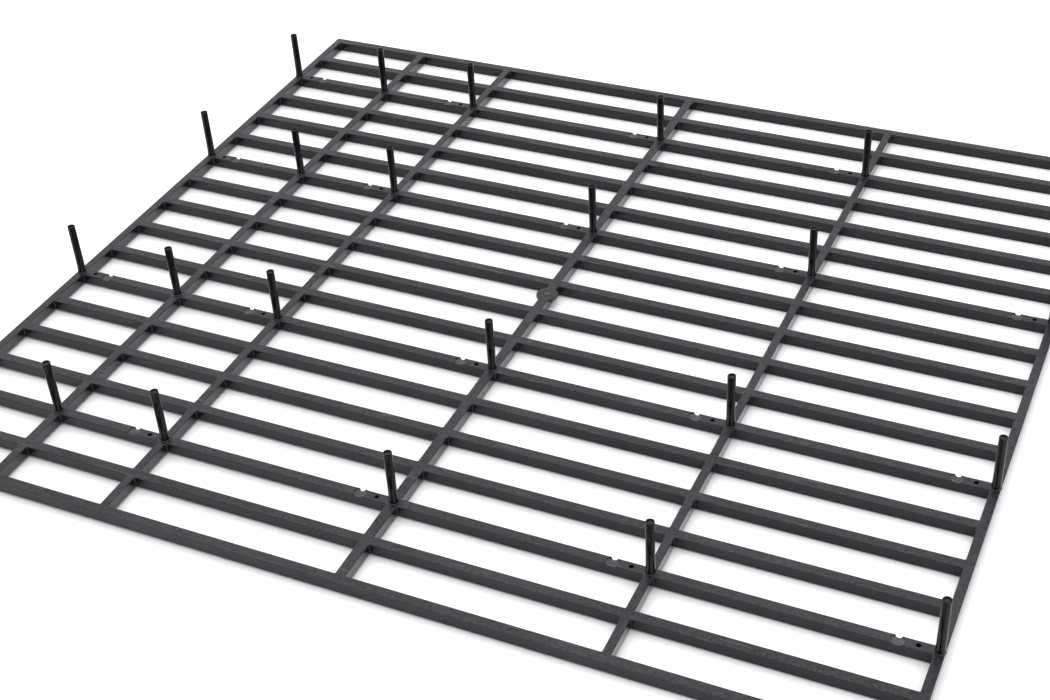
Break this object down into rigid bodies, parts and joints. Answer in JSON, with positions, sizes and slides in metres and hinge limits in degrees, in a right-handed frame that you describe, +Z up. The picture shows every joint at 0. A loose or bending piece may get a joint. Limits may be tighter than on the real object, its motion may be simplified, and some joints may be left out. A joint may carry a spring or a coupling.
{
  "type": "peg grid for a bee hive",
  "caption": "Flat rectangular moulded plastic grid of long cross bars and ribs with wide open gaps, and rows of upright round pegs standing on its crossings.",
  "frame": {"origin": "middle of the underside, on the surface that the grid lies on", "axes": "+X along the cross bars, +Y from the front to the back, +Z up along the pegs"},
  "size_m": [0.4632, 0.4162, 0.0323],
  "materials": {
    "grid": "satin black moulding, slightly worn",
    "pegs": "smooth near-black moulding"
  },
  "bodies": {
    "root": {"frame_bar_back": "grid", "cross_bar_01": "grid", "cross_bar_02": "grid", "cross_bar_03": "grid", "cross_bar_04": "grid", "cross_bar_05": "grid", "cross_bar_06": "grid", "cross_bar_07": "grid", "cross_bar_08": "grid", "cross_bar_09": "grid", "cross_bar_10": "grid", "cross_bar_11": "grid", "cross_bar_12": "grid", "cross_bar_13": "grid", "cross_bar_14": "grid", "cross_bar_15": "grid", "cross_bar_16": "grid", "frame_bar_front": "grid", "frame_rib_left": "grid", "rib_01": "grid", "rib_02": "grid", "rib_03": "grid", "rib_04": "grid", "frame_rib_right": "grid", "gate_pad_left": "grid", "gate_pad_right": "grid", "peg_1_1": "pegs", "peg_1_2": "pegs", "peg_1_3": "pegs", "peg_1_4": "pegs", "peg_1_5": "pegs", "peg_1_6": "pegs", "peg_2_1": "pegs", "peg_2_2": "pegs", "peg_2_3": "pegs", "peg_2_4": "pegs", "peg_2_5": "pegs", "peg_2_6": "pegs", "peg_3_1": "pegs", "peg_3_2": "pegs", "peg_3_3": "pegs", "peg_3_4": "pegs", "peg_3_5": "pegs", "peg_3_6": "pegs", "peg_4_1": "pegs", "peg_4_2": "pegs", "peg_4_3": "pegs", "peg_4_4": "pegs", "peg_4_5": "pegs", "peg_4_6": "pegs"}
  },
  "joints": []
}
